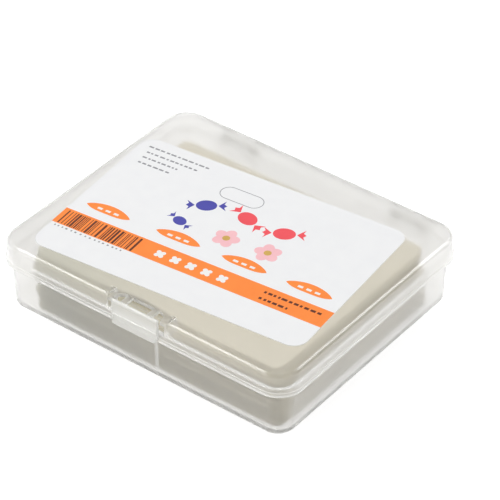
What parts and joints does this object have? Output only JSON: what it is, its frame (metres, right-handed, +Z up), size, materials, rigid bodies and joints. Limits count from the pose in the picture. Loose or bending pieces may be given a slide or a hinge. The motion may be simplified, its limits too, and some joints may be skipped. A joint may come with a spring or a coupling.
{
  "type": "hinged clear box of edible wafer paper sheets",
  "caption": "Shallow clear plastic box with a hinged lid and a swinging front latch, filled with a stack of thin translucent edible wafer sheets under a white sticker.",
  "frame": {"origin": "on the table, under the middle of the tray", "axes": "+Z up, +X along the latch side, -Y out of the latch side, +Y out of the hinge side"},
  "size_m": [0.09, 0.0797, 0.0205],
  "materials": {
    "clear_plastic": "clear, slightly milky polypropylene with a soft gloss",
    "latch_plastic": "milky polypropylene with a soft gloss",
    "wafer_paper": "translucent cream, smooth and slightly waxy",
    "sticker_paper": "smooth white coated paper with flat fields of printed colour"
  },
  "bodies": {
    "base": {"box_base": "clear_plastic", "wafer_stack": "wafer_paper"},
    "lid": {"box_lid": "clear_plastic", "lid_label": "sticker_paper"},
    "latch": {"latch_flap": "latch_plastic"}
  },
  "joints": [
    {"name": "lid_hinge", "type": "hinge", "parent": "base", "child": "lid", "pos_m": [0, 0.0396, 0.0126], "axis": [-1, 0, 0], "range_deg": [0, 175]},
    {"name": "latch_hinge", "type": "hinge", "parent": "lid", "child": "latch", "pos_m": [0, -0.0373, 0.0194], "axis": [-1, 0, 0], "range_deg": [0, 105]}
  ]
}
